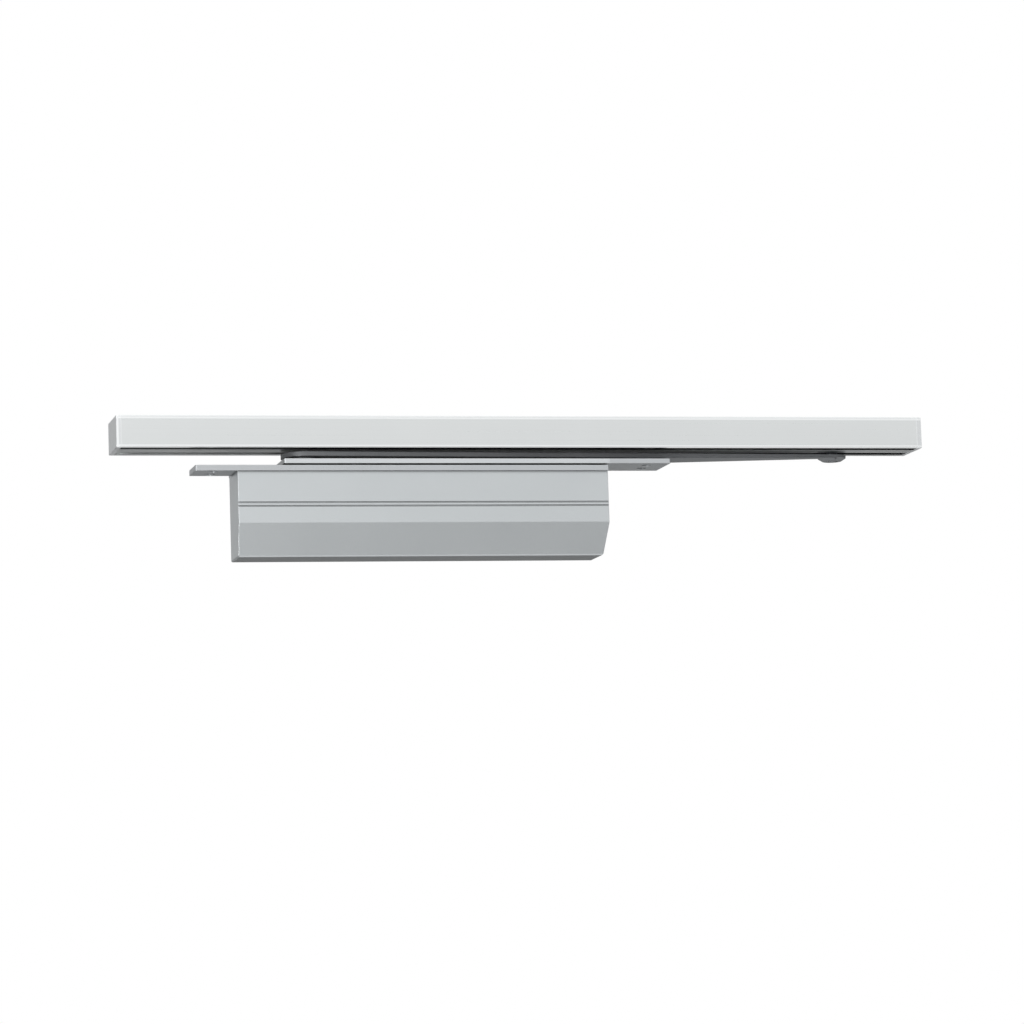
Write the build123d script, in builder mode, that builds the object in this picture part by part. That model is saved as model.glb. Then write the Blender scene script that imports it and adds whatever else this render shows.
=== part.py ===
from build123d import *

import os
from math import acos, atan2, cos, degrees, hypot, pi, sin, sqrt

# A concealed door closer: a cam-action closer body that sits in the top edge of a
# door leaf, a flat arm on its spindle, and a slide channel that is let into the
# frame above. All sizes are in millimetres. The origin is on the axis of the front
# hole of the left fixing lug, at the lug's top face. X runs along the door, Y goes
# from the front of the door to its back, and Z is up. The door is closed at rest.

# Spindle, from the origin
spindle_x = 50.0
spindle_y = 9.5

# Stack of plates, arm and channel, going up from the housing
lower_plate_thickness = 3.0
plate_gap = 0.85
cover_plate_thickness = 2.6
arm_over_cover = 1.7
arm_thickness = 2.6
channel_over_arm = 1.3

# Housing
housing_length = 200.0
housing_depth = 27.0
housing_height = 45.1
spindle_to_housing_end = 37.6
facet_height = 17.7
facet_inset = 2.5
end_taper_inset = 3.6
housing_edge_chamfer = 0.6
housing_corner_radius = 0.4
groove_below_top = 16.7
groove_pitch = 1.9
groove_count = 2
groove_width = 0.9
groove_depth = 0.5

# Bores of the housing
bore_radius = 10.5
bore_below_top = 22.0
cam_chamber_radius = 11.0
cam_chamber_extra_depth = 0.5
bearing_outer_radius = 8.0
bearing_length = 6.5
bearing_seat_extra = 0.5
plug_radius = 11.5
plug_depth = 11.5
end_wall = 6.0

# Clearances
static_fit = 0.02
running_fit = 0.04
cam_to_roller_gap = 0.01
general_gap = 0.2

# Heart cam and its rollers: the piston moves cam_lift while the arm turns cam_angle
cam_lift = 4.0
cam_angle = 120.0
notch_pitch_radius = 8.8
roller_radius = 4.5
cam_height = 11.0
cam_core_radius = 4.1
cam_curve_points = 24
roller_pin_radius = 1.75
roller_pin_length = 18.6
journal_radius = 6.0
square_width = 8.4
square_corner_radius = 0.5
arm_screw_hole_depth = 11.0

# Pistons and the plates that tie them
tie_plate_thickness = 1.5
tie_plate_width = 13.6
tie_plate_end = 3.2
tie_plate_corner = 3.0
tie_plate_over_cam = 0.5
fork_nose = 3.5
spring_piston_body = 17.0
spring_spigot_radius = 6.2
spring_spigot_length = 5.0
damping_piston_gap = 1.6
piston_seal_width = 2.0
piston_seal_depth = 1.4
piston_seal_inset = 2.5
ball_radius = 1.5
ball_chamber_radius = 1.9
ball_chamber_depth = 4.0
ball_seat_radius = 0.9

# Closing spring and its adjustment
spring_wire_thickness = 3.2
spring_wire_width = 3.4
spring_mean_radius = 8.3
spring_coils = 12
spring_seat_thickness = 5.0
spring_seat_rim = 2.0
adjuster_travel = 5.0
adjuster_thread_radius = 2.5
adjuster_journal_radius = 3.0
adjuster_collar_radius = 5.0
adjuster_collar_thickness = 2.2
adjuster_beyond_seat = 1.5
adjuster_socket_radius = 1.7
adjuster_socket_depth = 3.0

# End plug
plug_thickness = 7.0
plug_seal_section = 1.6
plug_seal_inset = 1.0
plug_spanner_hole_radius = 1.25
plug_spanner_hole_depth = 3.0
plug_spanner_circle = 7.5

# Gland that closes the cam chamber and carries the upper bearing
gland_height = 11.0
gland_lip_height = 4.5
gland_seal_section = 1.7
gland_seal_below_top = 1.3
gland_spanner_hole_radius = 1.0
gland_spanner_hole_depth = 1.6
gland_spanner_holes = 4

# Regulating valves
valve_from_end = 9.6
valve_spread = 13.0
valve_radius = 3.0
valve_hole_depth = 11.0
valve_below_top = 1.0
valve_body_length = 7.0
valve_needle_radius = 1.2
valve_needle_length = 2.2
valve_needle_taper = 20.0
valve_socket_radius = 1.25
valve_socket_depth = 2.0
valve_seal_section = 1.0
valve_seal_below_top = 4.0
valve_access_radius = 3.6
oil_passage_radius = 0.8

# Plates, lugs and their holes
plate_depth = 29.4
left_lug_end = 10.0
lug_hole_radius = 2.75
lug_hole_spacing = 11.0
plate_corner_radius = 1.0
plate_edge_radius = 0.35
cover_left_of_spindle = 13.0
cover_past_housing = 0.9
right_lug_length = 33.7
right_lug_hole_inset = 11.0
tongue_length = 22.0
tongue_width = 21.0
tongue_thickness = 1.3
tongue_clearance = 0.1
arm_collar_hole_radius = 9.0

# Screws that clamp the plates to the housing
screw_spread = 13.0
first_screw_from_spindle = 27.0
last_screw_from_end = 11.4
screw_radius = 2.0
screw_hole_radius = 2.3
screw_head_radius = 3.9
screw_length = 14.0
screw_tap_extra = 1.5
screw_pad_radius = 5.0
screw_socket_radius = 1.25
screw_socket_depth = 1.6
screw_head_sink = 0.1
countersink_taper = 45.0
hexagon_sides = 6

# Arm
arm_centre_distance = 294.5
arm_hub_radius = 12.0
arm_boss_radius = 7.6
arm_boss_drop = 0.4
arm_boss_foot_radius = 5.2
arm_boss_foot_height = 1.5
arm_taper_start = 205.0
arm_taper_width = 18.3
arm_neck_from_boss = 8.5
arm_neck_width = 6.0
arm_neck_thinning = 0.8
arm_edge_radius = 0.3
arm_collar_radius = 8.0
arm_collar_length = 7.35
arm_screw_radius = 2.1
arm_screw_hole_radius = 2.6
arm_screw_head_radius = 4.5
arm_screw_length = 12.0
arm_screw_socket_radius = 1.5
arm_screw_socket_depth = 1.6

# Slide pin and block
slide_pin_radius = 3.0
slide_pin_past_ring = 0.8
ring_thickness = 0.8
ring_outer_radius = 4.6
ring_groove_depth = 0.6
ring_opening = 3.6
block_length = 36.0
block_height = 9.6
block_side_gap = 0.2
block_over_lips = 0.2
block_corner_radius = 3.0
block_relief_width = 3.0
block_relief_spread = 18.0
block_relief_depth = 0.8

# Slide channel
channel_length = 440.0
channel_depth = 31.0
channel_height = 17.0
channel_left_of_origin = 51.0
channel_wall = 2.0
channel_edge_radius = 0.5
chamber_width = 14.0
slot_width = 7.0
channel_hole_radius = 2.25
channel_hole_inset = 18.0
cap_thickness = 2.5
cap_tenon_length = 7.0
cap_tenon_gap = 0.1

# Heights that follow from the stack
lower_plate_top = 0.0
housing_top = lower_plate_top - lower_plate_thickness
housing_bottom = housing_top - housing_height
cover_bottom = lower_plate_top + plate_gap
cover_top = cover_bottom + cover_plate_thickness
arm_bottom = cover_top + arm_over_cover
arm_top = arm_bottom + arm_thickness
channel_bottom = arm_top + channel_over_arm
channel_top = channel_bottom + channel_height

# Places along and across that follow
housing_left = spindle_x - spindle_to_housing_end
housing_right = housing_left + housing_length
housing_front = spindle_y - housing_depth / 2
housing_back = spindle_y + housing_depth / 2
plate_front = spindle_y - plate_depth / 2
bore_z = housing_top - bore_below_top
channel_front = spindle_y - channel_depth / 2
channel_back = spindle_y + channel_depth / 2
channel_left = -channel_left_of_origin
channel_right = channel_left + channel_length
slide_pin_y = channel_back - channel_wall - chamber_width / 2
slide_pin_x = spindle_x + sqrt(arm_centre_distance**2 - (slide_pin_y - spindle_y) ** 2)

cam_bottom = bore_z - cam_height / 2
chamber_floor = bore_z - bore_radius - cam_chamber_extra_depth
bearing_floor = chamber_floor - bearing_length - bearing_seat_extra
gland_bottom = housing_top - gland_height
valve_x = housing_left + valve_from_end
valve_places = [(valve_x, spindle_y - valve_spread / 2), (valve_x, spindle_y + valve_spread / 2)]
screw_xs = [spindle_x + first_screw_from_spindle, housing_right - last_screw_from_end]
screw_ys = [spindle_y - screw_spread / 2, spindle_y + screw_spread / 2]
screw_places = [(x, y) for x in screw_xs for y in screw_ys]
screw_head_top = cover_top - screw_head_sink
screw_tip = screw_head_top - screw_length

# Housing: a cast block with a facet along its lower front edge, two fine grooves
# along its face, a long bore for the pistons and an upright chamber for the cam.
facet_top = housing_bottom + facet_height
with BuildPart() as housing:
    with BuildSketch(Plane.YZ.offset(housing_left)):
        with BuildLine():
            Polyline(
                (housing_front, housing_top),
                (housing_front, facet_top),
                (housing_front + facet_inset, housing_bottom),
                (housing_back, housing_bottom),
                (housing_back, housing_top),
                close=True,
            )
        make_face()
    extrude(amount=housing_length)
    with BuildSketch(Plane.XZ.offset(-housing_back)):
        with BuildLine():
            Polyline(
                (housing_right, facet_top),
                (housing_right, housing_bottom),
                (housing_right - end_taper_inset, housing_bottom),
                close=True,
            )
        make_face()
    extrude(amount=housing_depth, mode=Mode.SUBTRACT)
    chamfer(housing.faces().sort_by(Axis.Z)[0].edges(), housing_edge_chamfer)
    fillet(housing.edges().filter_by(Axis.Z), housing_corner_radius)
    for step in range(groove_count):
        groove_z = housing_top - groove_below_top - step * groove_pitch
        with BuildSketch(Plane.YZ.offset(housing_left)):
            with Locations((housing_front, groove_z)):
                Rectangle(2 * groove_depth, groove_width)
        extrude(amount=housing_length, mode=Mode.SUBTRACT)
    with BuildSketch(Plane.YZ.offset(housing_left + end_wall)):
        with Locations((spindle_y, bore_z)):
            Circle(bore_radius)
    extrude(amount=housing_length - end_wall, mode=Mode.SUBTRACT)
    with BuildSketch(Plane.YZ.offset(housing_right - plug_depth)):
        with Locations((spindle_y, bore_z)):
            Circle(plug_radius)
    extrude(amount=plug_depth, mode=Mode.SUBTRACT)
    with BuildSketch(Plane.XY.offset(chamber_floor)):
        with Locations((spindle_x, spindle_y)):
            Circle(cam_chamber_radius)
    extrude(amount=housing_top - chamber_floor, mode=Mode.SUBTRACT)
    with BuildSketch(Plane.XY.offset(bearing_floor)):
        with Locations((spindle_x, spindle_y)):
            Circle(bearing_outer_radius)
    extrude(amount=chamber_floor - bearing_floor, mode=Mode.SUBTRACT)
    with BuildSketch(Plane.XY.offset(housing_top - valve_hole_depth)):
        with Locations(*valve_places):
            Circle(valve_radius + running_fit)
    extrude(amount=valve_hole_depth, mode=Mode.SUBTRACT)
    with BuildSketch(Plane.XY.offset(bore_z)):
        with Locations(*valve_places):
            Circle(oil_passage_radius)
    extrude(amount=bore_below_top - valve_hole_depth, mode=Mode.SUBTRACT)
    with BuildSketch(Plane.XY.offset(screw_tip - screw_tap_extra)):
        with Locations(*screw_places):
            Circle(screw_radius + static_fit)
    extrude(amount=housing_top - screw_tip + screw_tap_extra, mode=Mode.SUBTRACT)
housing.part.label = "housing"

# End plug: closes the bore at the spring's end and lets the adjusting screw through.
# Two holes in its face take a pin spanner.
plug_left = housing_right - plug_depth
plug_right = plug_left + plug_thickness
plug_seal_left = plug_left + plug_seal_inset
with BuildPart() as end_plug:
    with BuildSketch(Plane.YZ.offset(plug_left)):
        with Locations((spindle_y, bore_z)):
            Circle(plug_radius - static_fit)
            Circle(adjuster_journal_radius + running_fit, mode=Mode.SUBTRACT)
    extrude(amount=plug_thickness)
    with BuildSketch(Plane.YZ.offset(plug_seal_left)):
        with Locations((spindle_y, bore_z)):
            Circle(plug_radius)
            Circle(plug_radius - plug_seal_section, mode=Mode.SUBTRACT)
    extrude(amount=plug_seal_section, mode=Mode.SUBTRACT)
    with BuildSketch(Plane.YZ.offset(plug_right - plug_spanner_hole_depth)):
        with Locations((spindle_y, bore_z)):
            with GridLocations(2 * plug_spanner_circle, 0, 2, 1):
                Circle(plug_spanner_hole_radius)
    extrude(amount=plug_spanner_hole_depth, mode=Mode.SUBTRACT)
end_plug.part.label = "end_plug"

# Sealing ring of the plug, of square section.
with BuildPart() as plug_seal:
    with BuildSketch(Plane.YZ.offset(plug_seal_left + static_fit)):
        with Locations((spindle_y, bore_z)):
            Circle(plug_radius - static_fit)
            Circle(plug_radius - plug_seal_section + static_fit, mode=Mode.SUBTRACT)
    extrude(amount=plug_seal_section - 2 * static_fit)
plug_seal.part.label = "plug_seal"

# Gland: a threaded ring that closes the cam chamber from above. It holds the upper
# bearing and the spindle seal, and has four holes for a pin spanner.
gland_seal_top = housing_top - gland_seal_below_top
gland_seal_bottom = gland_seal_top - gland_seal_section
gland_seal_outer = journal_radius + running_fit + gland_seal_section
with BuildPart() as spindle_gland:
    with BuildSketch(Plane.XY.offset(gland_bottom)):
        with Locations((spindle_x, spindle_y)):
            Circle(cam_chamber_radius - static_fit)
            Circle(bearing_outer_radius, mode=Mode.SUBTRACT)
    extrude(amount=gland_height - gland_lip_height)
    with BuildSketch(Plane.XY.offset(housing_top - gland_lip_height)):
        with Locations((spindle_x, spindle_y)):
            Circle(cam_chamber_radius - static_fit)
            Circle(journal_radius + general_gap, mode=Mode.SUBTRACT)
    extrude(amount=gland_lip_height)
    with BuildSketch(Plane.XY.offset(gland_seal_bottom)):
        with Locations((spindle_x, spindle_y)):
            Circle(gland_seal_outer)
    extrude(amount=gland_seal_section, mode=Mode.SUBTRACT)
    spanner_circle = (cam_chamber_radius + gland_seal_outer) / 2
    with BuildSketch(Plane.XY.offset(housing_top - gland_spanner_hole_depth)):
        with Locations((spindle_x, spindle_y)):
            with PolarLocations(spanner_circle, gland_spanner_holes):
                Circle(gland_spanner_hole_radius)
    extrude(amount=gland_spanner_hole_depth, mode=Mode.SUBTRACT)
spindle_gland.part.label = "spindle_gland"

# Spindle seal: a rubber ring of square section in the gland's groove.
with BuildPart() as spindle_seal:
    with BuildSketch(Plane.XY.offset(gland_seal_bottom + static_fit)):
        with Locations((spindle_x, spindle_y)):
            Circle(gland_seal_outer - static_fit)
            Circle(journal_radius + running_fit, mode=Mode.SUBTRACT)
    extrude(amount=gland_seal_section - 2 * static_fit)
spindle_seal.part.label = "spindle_seal"

# Two plain bearings: one in the gland, one in the floor of the cam chamber.
upper_bearing_bottom = housing_top - gland_lip_height - bearing_length
lower_bearing_bottom = bearing_floor + bearing_seat_extra
with BuildPart() as upper_bearing:
    with BuildSketch(Plane.XY.offset(upper_bearing_bottom)):
        with Locations((spindle_x, spindle_y)):
            Circle(bearing_outer_radius - static_fit)
            Circle(journal_radius + running_fit, mode=Mode.SUBTRACT)
    extrude(amount=bearing_length)
upper_bearing.part.label = "upper_bearing"

with BuildPart() as lower_bearing:
    with BuildSketch(Plane.XY.offset(lower_bearing_bottom)):
        with Locations((spindle_x, spindle_y)):
            Circle(bearing_outer_radius - static_fit)
            Circle(journal_radius + running_fit, mode=Mode.SUBTRACT)
    extrude(amount=bearing_length)
lower_bearing.part.label = "lower_bearing"

# The heart cam. The roller centres follow a pitch curve whose radius grows evenly
# with the angle from the notch, so the pistons move evenly with the arm. The cam's
# own edge lies one roller radius inside that curve: an arc in the notch, then a
# smooth curve to the tip, and the same mirrored.
lift_per_radian = cam_lift / (cam_angle * pi / 180)
cam_inset = roller_radius + cam_to_roller_gap


def cam_edge_point(angle):
    # The point of the cam's edge that a roller touches when its centre is at this angle.
    pitch = notch_pitch_radius + lift_per_radian * angle
    slope = hypot(pitch, lift_per_radian)
    along = lift_per_radian / slope
    across = pitch / slope
    x = pitch * cos(angle) - cam_inset * (across * cos(angle) + along * sin(angle))
    y = pitch * sin(angle) - cam_inset * (across * sin(angle) - along * cos(angle))
    return (x, y)


# The edge curves of the two halves meet on the axis just before half a turn.
tip_tolerance = 1e-9
low_angle = pi / 2
high_angle = pi
while high_angle - low_angle > tip_tolerance:
    middle_angle = (low_angle + high_angle) / 2
    if cam_edge_point(middle_angle)[1] > 0:
        low_angle = middle_angle
    else:
        high_angle = middle_angle
tip_angle = low_angle
upper_curve = [cam_edge_point(tip_angle * i / cam_curve_points) for i in range(cam_curve_points + 1)]
lower_curve = [(x, -y) for x, y in reversed(upper_curve)]
notch_bottom = (notch_pitch_radius - cam_inset, 0)

# Spindle: forged in one piece with the cam, with a square end for the arm.
square_top = arm_bottom - general_gap
journal_top = arm_bottom - arm_collar_length - general_gap
with BuildPart() as cam_spindle:
    with BuildSketch(Plane.XY.offset(lower_bearing_bottom)):
        with Locations((spindle_x, spindle_y)):
            Circle(journal_radius)
    extrude(amount=chamber_floor - lower_bearing_bottom)
    with BuildSketch(Plane.XY.offset(chamber_floor)):
        with Locations((spindle_x, spindle_y)):
            Circle(cam_core_radius)
    extrude(amount=gland_bottom - chamber_floor)
    with BuildSketch(Plane.XY.offset(gland_bottom)):
        with Locations((spindle_x, spindle_y)):
            Circle(journal_radius)
    extrude(amount=journal_top - gland_bottom)
    with BuildSketch(Plane.XY.offset(journal_top)):
        with Locations((spindle_x, spindle_y)):
            RectangleRounded(square_width, square_width, square_corner_radius)
    extrude(amount=square_top - journal_top)
    with BuildSketch(Plane((spindle_x, spindle_y, cam_bottom))):
        with BuildLine():
            ThreePointArc(lower_curve[-1], notch_bottom, upper_curve[0])
            Spline(*upper_curve)
            Spline(*lower_curve)
        make_face()
    extrude(amount=cam_height)
    with BuildSketch(Plane.XY.offset(square_top - arm_screw_hole_depth)):
        with Locations((spindle_x, spindle_y)):
            Circle(arm_screw_radius + static_fit)
    extrude(amount=arm_screw_hole_depth, mode=Mode.SUBTRACT)
cam_spindle.part.label = "cam_spindle"

# Where the two rollers stand at rest, and where the tie plates lie.
spring_roller_x = spindle_x + notch_pitch_radius
damping_roller_x = spindle_x - notch_pitch_radius - lift_per_radian * pi
tie_plate_inner = cam_height / 2 + tie_plate_over_cam
tie_plate_outer = tie_plate_inner + tie_plate_thickness
fork_half_height = tie_plate_outer + general_gap
fork_room = roller_radius + general_gap
piston_radius = bore_radius - running_fit

# Spring piston: a forked plunger. The fork holds its roller against the cam and the
# spigot centres the closing spring.
spring_piston_left = spring_roller_x - fork_nose
spring_piston_right = spring_roller_x + spring_piston_body
with BuildPart() as spring_piston:
    with BuildSketch(Plane.YZ.offset(spring_piston_left)):
        with Locations((spindle_y, bore_z)):
            Circle(piston_radius)
    extrude(amount=spring_piston_right - spring_piston_left)
    with BuildSketch(Plane.YZ.offset(spring_piston_right)):
        with Locations((spindle_y, bore_z)):
            Circle(spring_spigot_radius)
    extrude(amount=spring_spigot_length)
    with BuildSketch(Plane.XZ.offset(-spindle_y)):
        with Locations((spring_piston_left, bore_z)):
            Rectangle(2 * (fork_nose + fork_room), 2 * fork_half_height)
    extrude(amount=bore_radius, both=True, mode=Mode.SUBTRACT)
    with BuildSketch(Plane.XY.offset(bore_z)):
        with Locations((spring_roller_x, spindle_y)):
            Circle(roller_pin_radius + static_fit)
    extrude(amount=bore_radius, both=True, mode=Mode.SUBTRACT)
spring_piston.part.label = "spring_piston"

# Damping piston: the same fork on the other side, with a seal groove and a ball
# valve that lets oil past while the door opens.
damping_piston_right = damping_roller_x + fork_nose
damping_piston_left = housing_left + end_wall + damping_piston_gap
seal_groove_left = damping_piston_left + piston_seal_inset
ball_seat_x = damping_piston_left + ball_chamber_depth
with BuildPart() as damping_piston:
    with BuildSketch(Plane.YZ.offset(damping_piston_left)):
        with Locations((spindle_y, bore_z)):
            Circle(piston_radius)
    extrude(amount=damping_piston_right - damping_piston_left)
    with BuildSketch(Plane.XZ.offset(-spindle_y)):
        with Locations((damping_piston_right, bore_z)):
            Rectangle(2 * (fork_nose + fork_room), 2 * fork_half_height)
    extrude(amount=bore_radius, both=True, mode=Mode.SUBTRACT)
    with BuildSketch(Plane.XY.offset(bore_z)):
        with Locations((damping_roller_x, spindle_y)):
            Circle(roller_pin_radius + static_fit)
    extrude(amount=bore_radius, both=True, mode=Mode.SUBTRACT)
    with BuildSketch(Plane.YZ.offset(seal_groove_left)):
        with Locations((spindle_y, bore_z)):
            Circle(bore_radius)
            Circle(piston_radius - piston_seal_depth, mode=Mode.SUBTRACT)
    extrude(amount=piston_seal_width, mode=Mode.SUBTRACT)
    with BuildSketch(Plane.YZ.offset(damping_piston_left)):
        with Locations((spindle_y, bore_z)):
            Circle(ball_chamber_radius)
    extrude(amount=ball_chamber_depth, mode=Mode.SUBTRACT)
    with BuildSketch(Plane.YZ.offset(damping_piston_left)):
        with Locations((spindle_y, bore_z)):
            Circle(ball_seat_radius)
    extrude(amount=damping_piston_right - damping_piston_left, mode=Mode.SUBTRACT)
damping_piston.part.label = "damping_piston"

# Piston seal: a flat ring in the damping piston's groove.
with BuildPart() as damping_piston_seal:
    with BuildSketch(Plane.YZ.offset(seal_groove_left + static_fit)):
        with Locations((spindle_y, bore_z)):
            Circle(bore_radius - static_fit)
            Circle(piston_radius - piston_seal_depth + static_fit, mode=Mode.SUBTRACT)
    extrude(amount=piston_seal_width - 2 * static_fit)
damping_piston_seal.part.label = "damping_piston_seal"

# Check valve ball, resting on the edge of its seat.
ball_x = ball_seat_x - sqrt(ball_radius**2 - ball_seat_radius**2) - static_fit
with BuildPart() as check_valve_ball:
    with Locations((ball_x, spindle_y, bore_z)):
        Sphere(ball_radius)
check_valve_ball.part.label = "check_valve_ball"

# Rollers and their pins.
with BuildPart() as spring_roller:
    with BuildSketch(Plane.XY.offset(cam_bottom)):
        with Locations((spring_roller_x, spindle_y)):
            Circle(roller_radius)
            Circle(roller_pin_radius + running_fit, mode=Mode.SUBTRACT)
    extrude(amount=cam_height)
spring_roller.part.label = "spring_roller"

with BuildPart() as damping_roller:
    with BuildSketch(Plane.XY.offset(cam_bottom)):
        with Locations((damping_roller_x, spindle_y)):
            Circle(roller_radius)
            Circle(roller_pin_radius + running_fit, mode=Mode.SUBTRACT)
    extrude(amount=cam_height)
damping_roller.part.label = "damping_roller"

with BuildPart() as roller_pins:
    with BuildSketch(Plane.XY.offset(bore_z)):
        with Locations((spring_roller_x, spindle_y), (damping_roller_x, spindle_y)):
            Circle(roller_pin_radius)
    extrude(amount=roller_pin_length / 2, both=True)
roller_pins.part.label = "roller_pins"

# Tie plates: one over the cam and one under it, threaded on the roller pins, so that
# both pistons move as one. Each has a window for the spindle's core.
window_gap = 2 * general_gap
window_left = spindle_x - cam_lift - cam_core_radius - window_gap
window_right = spindle_x + cam_core_radius + window_gap
tie_plate_left = damping_roller_x - tie_plate_end
tie_plate_right = spring_roller_x + tie_plate_end
with BuildPart() as piston_tie_plates:
    for plate_z in (bore_z + tie_plate_inner, bore_z - tie_plate_outer):
        with BuildSketch(Plane.XY.offset(plate_z)):
            with Locations(((tie_plate_left + tie_plate_right) / 2, spindle_y)):
                RectangleRounded(tie_plate_right - tie_plate_left, tie_plate_width, tie_plate_corner)
            with Locations(((window_left + window_right) / 2, spindle_y)):
                SlotOverall(
                    window_right - window_left,
                    2 * (cam_core_radius + window_gap),
                    mode=Mode.SUBTRACT,
                )
            with Locations((spring_roller_x, spindle_y), (damping_roller_x, spindle_y)):
                Circle(roller_pin_radius + static_fit, mode=Mode.SUBTRACT)
        extrude(amount=tie_plate_thickness)
piston_tie_plates.part.label = "piston_tie_plates"

# Spring seat: a nut on the adjusting screw that the closing spring pushes against.
collar_left = plug_left - running_fit - adjuster_collar_thickness
seat_right = collar_left - adjuster_travel
seat_left = seat_right - spring_seat_thickness
with BuildPart() as spring_seat:
    with BuildSketch(Plane.YZ.offset(seat_left)):
        with Locations((spindle_y, bore_z)):
            Circle(piston_radius)
    extrude(amount=spring_seat_thickness)
    with BuildSketch(Plane.YZ.offset(seat_left - spring_seat_rim)):
        with Locations((spindle_y, bore_z)):
            Circle(spring_spigot_radius)
    extrude(amount=spring_seat_rim)
    with BuildSketch(Plane.YZ.offset(seat_left - spring_seat_rim)):
        with Locations((spindle_y, bore_z)):
            Circle(adjuster_thread_radius + running_fit)
    extrude(amount=spring_seat_rim + spring_seat_thickness, mode=Mode.SUBTRACT)
spring_seat.part.label = "spring_seat"

# Adjusting screw: its collar bears on the right plug, and its thread moves the seat.
adjuster_left = seat_left - spring_seat_rim - adjuster_travel - adjuster_beyond_seat
with BuildPart() as spring_adjusting_screw:
    with BuildSketch(Plane.YZ.offset(adjuster_left)):
        with Locations((spindle_y, bore_z)):
            Circle(adjuster_thread_radius)
    extrude(amount=collar_left - adjuster_left)
    with BuildSketch(Plane.YZ.offset(collar_left)):
        with Locations((spindle_y, bore_z)):
            Circle(adjuster_collar_radius)
    extrude(amount=adjuster_collar_thickness)
    with BuildSketch(Plane.YZ.offset(collar_left + adjuster_collar_thickness)):
        with Locations((spindle_y, bore_z)):
            Circle(adjuster_journal_radius)
    extrude(amount=plug_thickness + running_fit)
    with BuildSketch(Plane.YZ.offset(plug_right - adjuster_socket_depth)):
        with Locations((spindle_y, bore_z)):
            RegularPolygon(adjuster_socket_radius, hexagon_sides)
    extrude(amount=adjuster_socket_depth, mode=Mode.SUBTRACT)
spring_adjusting_screw.part.label = "spring_adjusting_screw"

# Closing spring: rectangular wire wound between the spring piston and the seat, with
# its two ends ground flat.
spring_length = seat_left - spring_piston_right
spring_pitch = spring_length / spring_coils
with BuildPart() as closing_spring:
    with BuildLine() as spring_line:
        Helix(
            spring_pitch,
            spring_length,
            spring_mean_radius,
            center=(spring_piston_right, spindle_y, bore_z),
            direction=(1, 0, 0),
        )
    with BuildSketch(Plane(spring_line.line @ 0, z_dir=spring_line.line % 0)):
        Rectangle(spring_wire_thickness, spring_wire_width)
    sweep(is_frenet=True)
    with BuildSketch(Plane.YZ.offset(spring_piston_right)):
        with Locations((spindle_y, bore_z)):
            Circle(bore_radius)
    extrude(amount=spring_length, mode=Mode.INTERSECT)
closing_spring.part.label = "closing_spring"

# Regulating valves: brass needles with a hexagon socket and a sealing ring. One sets
# the closing speed and the other the latching speed.
valve_top = housing_top - valve_below_top
valve_bottom = valve_top - valve_body_length
valve_seal_bottom = valve_top - valve_seal_below_top - valve_seal_section
valve_seal_inner = valve_radius - valve_seal_section
valves = []
valve_seals = []
for place in valve_places:
    with BuildPart() as valve:
        with BuildSketch(Plane.XY.offset(valve_bottom)):
            with Locations(place):
                Circle(valve_radius)
        extrude(amount=valve_body_length)
        with BuildSketch(Plane.XY.offset(valve_bottom)):
            with Locations(place):
                Circle(valve_needle_radius)
        extrude(amount=-valve_needle_length, taper=valve_needle_taper)
        with BuildSketch(Plane.XY.offset(valve_top - valve_socket_depth)):
            with Locations(place):
                RegularPolygon(valve_socket_radius, hexagon_sides)
        extrude(amount=valve_socket_depth, mode=Mode.SUBTRACT)
        with BuildSketch(Plane.XY.offset(valve_seal_bottom)):
            with Locations(place):
                Circle(valve_radius)
                Circle(valve_seal_inner, mode=Mode.SUBTRACT)
        extrude(amount=valve_seal_section, mode=Mode.SUBTRACT)
    valves.append(valve.part)
    with BuildPart() as valve_seal:
        with BuildSketch(Plane.XY.offset(valve_seal_bottom + static_fit)):
            with Locations(place):
                Circle(valve_radius)
                Circle(valve_seal_inner + static_fit, mode=Mode.SUBTRACT)
        extrude(amount=valve_seal_section - 2 * static_fit)
    valve_seals.append(valve_seal.part)
closing_speed_valve, latching_speed_valve = valves
closing_speed_valve.label = "closing_speed_valve"
latching_speed_valve.label = "latching_speed_valve"
closing_valve_seal, latching_valve_seal = valve_seals
closing_valve_seal.label = "closing_valve_seal"
latching_valve_seal.label = "latching_valve_seal"

# Lower plate: lies on the housing, carries the left fixing lug and has four raised
# pads that keep the cover plate a little above it.
lug_left = -left_lug_end
lug_back = lug_hole_spacing - plate_front
with BuildPart() as lower_plate:
    with BuildSketch(Plane.XY.offset(housing_top)):
        with Locations((housing_left, plate_front)):
            Rectangle(housing_length, plate_depth, align=(Align.MIN, Align.MIN))
        with Locations((lug_left, plate_front)):
            Rectangle(housing_left - lug_left, lug_back - plate_front, align=(Align.MIN, Align.MIN))
        with Locations((0, 0), (0, lug_hole_spacing)):
            Circle(lug_hole_radius, mode=Mode.SUBTRACT)
        with Locations((spindle_x, spindle_y)):
            Circle(arm_collar_hole_radius, mode=Mode.SUBTRACT)
        with Locations(*valve_places):
            Circle(valve_access_radius, mode=Mode.SUBTRACT)
    extrude(amount=lower_plate_thickness)
    lug_corners = lower_plate.edges().filter_by(Axis.Z).group_by(Axis.X)[0]
    fillet(lug_corners, plate_corner_radius)
    lower_rims = lower_plate.faces().sort_by(Axis.Z)[-1].outer_wire().edges()
    fillet(lower_rims, plate_edge_radius)
    with BuildSketch(Plane.XY.offset(lower_plate_top)):
        with Locations(*screw_places):
            Circle(screw_pad_radius)
    extrude(amount=plate_gap)
    with BuildSketch(Plane.XY.offset(housing_top)):
        with Locations(*screw_places):
            Circle(screw_hole_radius)
    extrude(amount=lower_plate_thickness + plate_gap, mode=Mode.SUBTRACT)
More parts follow.
